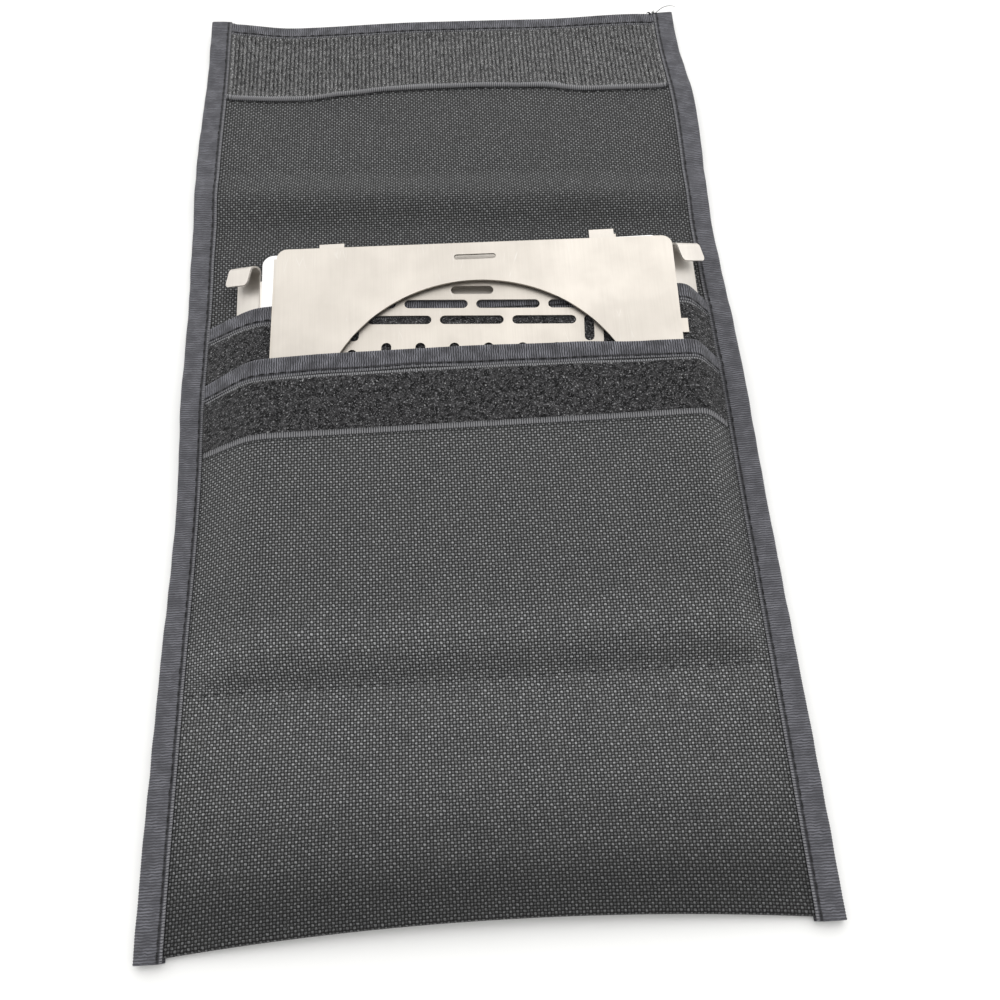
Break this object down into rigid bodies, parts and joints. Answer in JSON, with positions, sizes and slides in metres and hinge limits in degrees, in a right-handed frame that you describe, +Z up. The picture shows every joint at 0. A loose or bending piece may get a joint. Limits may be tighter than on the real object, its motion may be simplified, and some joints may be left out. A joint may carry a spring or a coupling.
{
  "type": "flat-pack plate stove in a pouch",
  "caption": "Flat-pack sheet-steel camping stove whose loose plates are stored in a two-pocket fabric pouch with a hook-and-loop flap.",
  "frame": {"origin": "on the floor, in the middle of the open pouch's box", "axes": "+X across the pouch to the right, +Y along it towards the end of the flap, +Z up from the floor"},
  "size_m": [0.185, 0.344, 0.0184],
  "materials": {
    "pouch_cloth": "coarse plain-weave black polyester cloth",
    "binding_tape": "ribbed black grosgrain tape",
    "hook_tape": "black hook tape in rows",
    "loop_tape": "black brushed loop tape",
    "thread": "black polyester thread",
    "stainless_steel": "satin rolled stainless sheet"
  },
  "bodies": {
    "pouch": {"back_panel": "pouch_cloth", "front_panel": "pouch_cloth", "divider_panel": "pouch_cloth", "side_binding_left": "binding_tape", "side_binding_right": "binding_tape", "front_mouth_binding": "binding_tape", "divider_mouth_binding": "binding_tape", "front_loop_tape": "loop_tape", "divider_loop_tape": "loop_tape", "pocket_floor_stitching": "thread", "side_stitching_left": "thread", "side_stitching_right": "thread"},
    "flap": {"flap_panel": "pouch_cloth", "flap_binding_left": "binding_tape", "flap_binding_right": "binding_tape", "flap_end_binding": "binding_tape", "hook_tape": "hook_tape", "hook_tape_stitching": "thread", "flap_stitching_left": "thread", "flap_stitching_right": "thread"},
    "ring_plate": {"ring_top_plate": "stainless_steel"},
    "front_wall": {"front_wall": "stainless_steel"},
    "grate": {"fire_grate": "stainless_steel"},
    "left_wall": {"side_wall_left": "stainless_steel"},
    "right_wall": {"side_wall_right": "stainless_steel"},
    "base": {"base_plate": "stainless_steel"},
    "hook_wall": {"hook_wall": "stainless_steel"}
  },
  "joints": [
    {"name": "flap_fold", "type": "hinge", "parent": "pouch", "child": "flap", "pos_m": [0, 0.066, 0.0105], "axis": [-1, 0, 0], "range_deg": [-180, 0]},
    {"name": "ring_plate_slide", "type": "slide", "parent": "pouch", "child": "ring_plate", "axis": [0, 0.9976, 0.0698], "range_m": [0, 0.15]},
    {"name": "front_wall_slide", "type": "slide", "parent": "pouch", "child": "front_wall", "axis": [0, 0.9976, 0.0698], "range_m": [0, 0.15]},
    {"name": "grate_slide", "type": "slide", "parent": "pouch", "child": "grate", "axis": [0, 0.9976, 0.0698], "range_m": [0, 0.15]},
    {"name": "left_wall_slide", "type": "slide", "parent": "pouch", "child": "left_wall", "axis": [0, 0.9976, 0.0698], "range_m": [0, 0.15]},
    {"name": "right_wall_slide", "type": "slide", "parent": "pouch", "child": "right_wall", "axis": [0, 0.9976, 0.0698], "range_m": [0, 0.15]},
    {"name": "base_slide", "type": "slide", "parent": "pouch", "child": "base", "axis": [0, 0.9976, 0.0698], "range_m": [0, 0.15]},
    {"name": "hook_wall_slide", "type": "slide", "parent": "pouch", "child": "hook_wall", "axis": [0, 0.9976, 0.0698], "range_m": [0, 0.15]}
  ]
}
